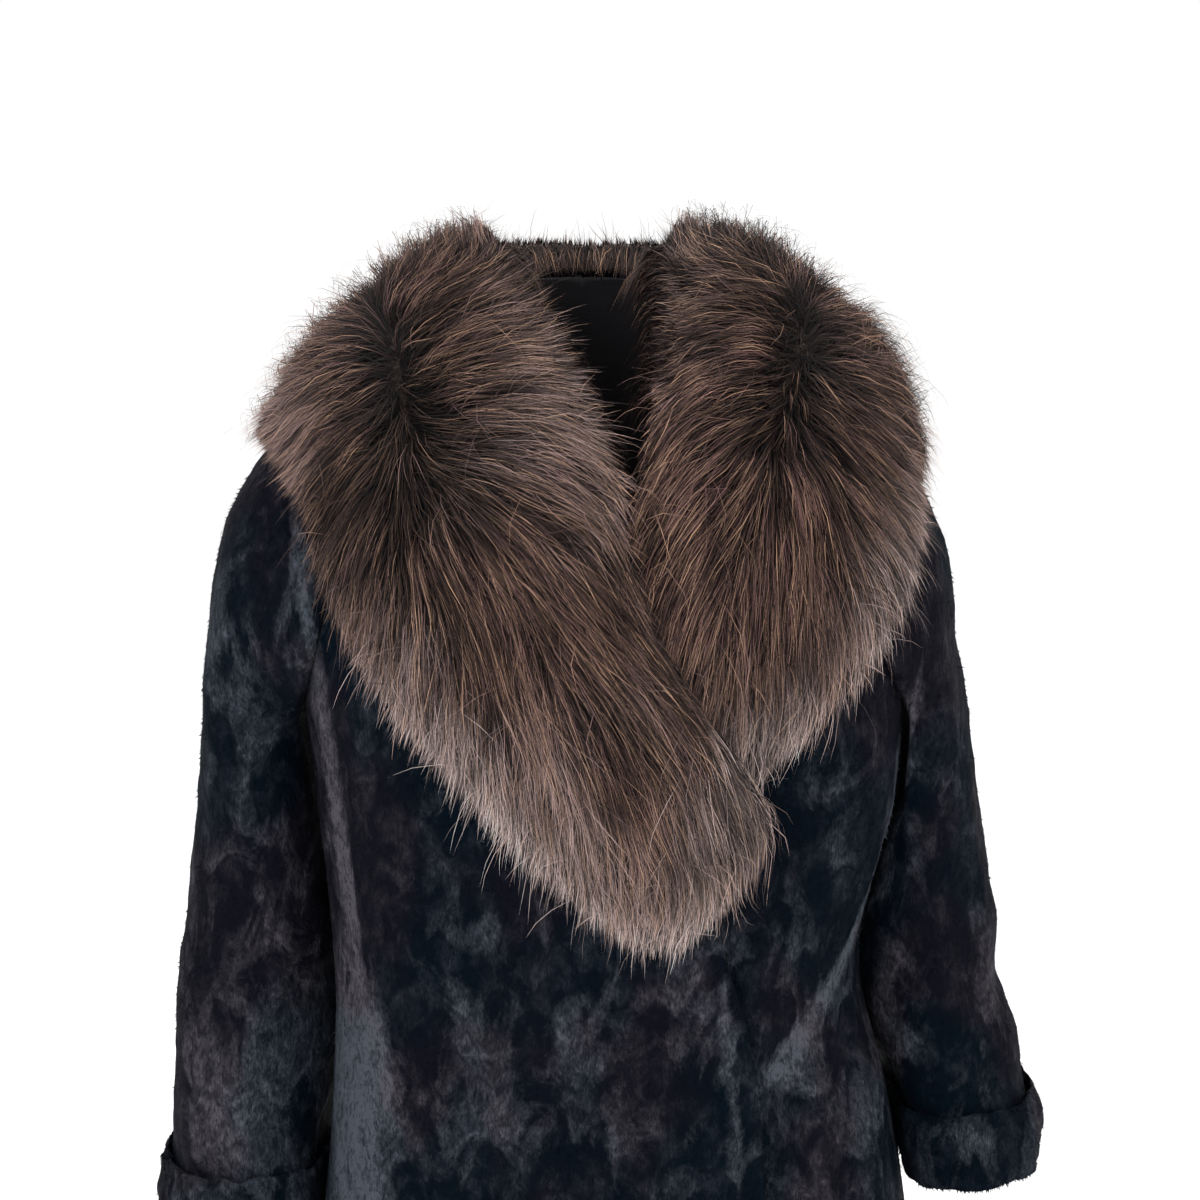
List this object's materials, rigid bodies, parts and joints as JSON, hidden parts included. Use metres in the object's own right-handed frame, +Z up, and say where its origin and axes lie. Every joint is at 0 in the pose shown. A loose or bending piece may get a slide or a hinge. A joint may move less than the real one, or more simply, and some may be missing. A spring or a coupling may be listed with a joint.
{
  "type": "sheared mink coat with fox shawl collar",
  "caption": "Long dark fur coat, filled out as worn, with a deep long-haired shawl collar, wide sleeves and turned-back cuffs.",
  "frame": {"origin": "the middle of the neck at the level of the shoulders, where the wearer carries the coat", "axes": "+Z up, -Y towards the front, +X towards the wearer's left"},
  "size_m": [0.684, 0.3907, 1.1414],
  "materials": {
    "sheared_mink": "short dense sheared mink, near black, with paler patches where the nap lies over",
    "fox_fur": "long dyed brown fox fur with golden guard hairs and dark partings"
  },
  "bodies": {
    "root": {"back": "sheared_mink", "front_right": "sheared_mink", "front_left": "sheared_mink", "sleeve_right": "sheared_mink", "sleeve_left": "sheared_mink", "cuff_right": "sheared_mink", "cuff_left": "sheared_mink", "collar_right": "fox_fur", "collar_left": "fox_fur"}
  },
  "joints": []
}
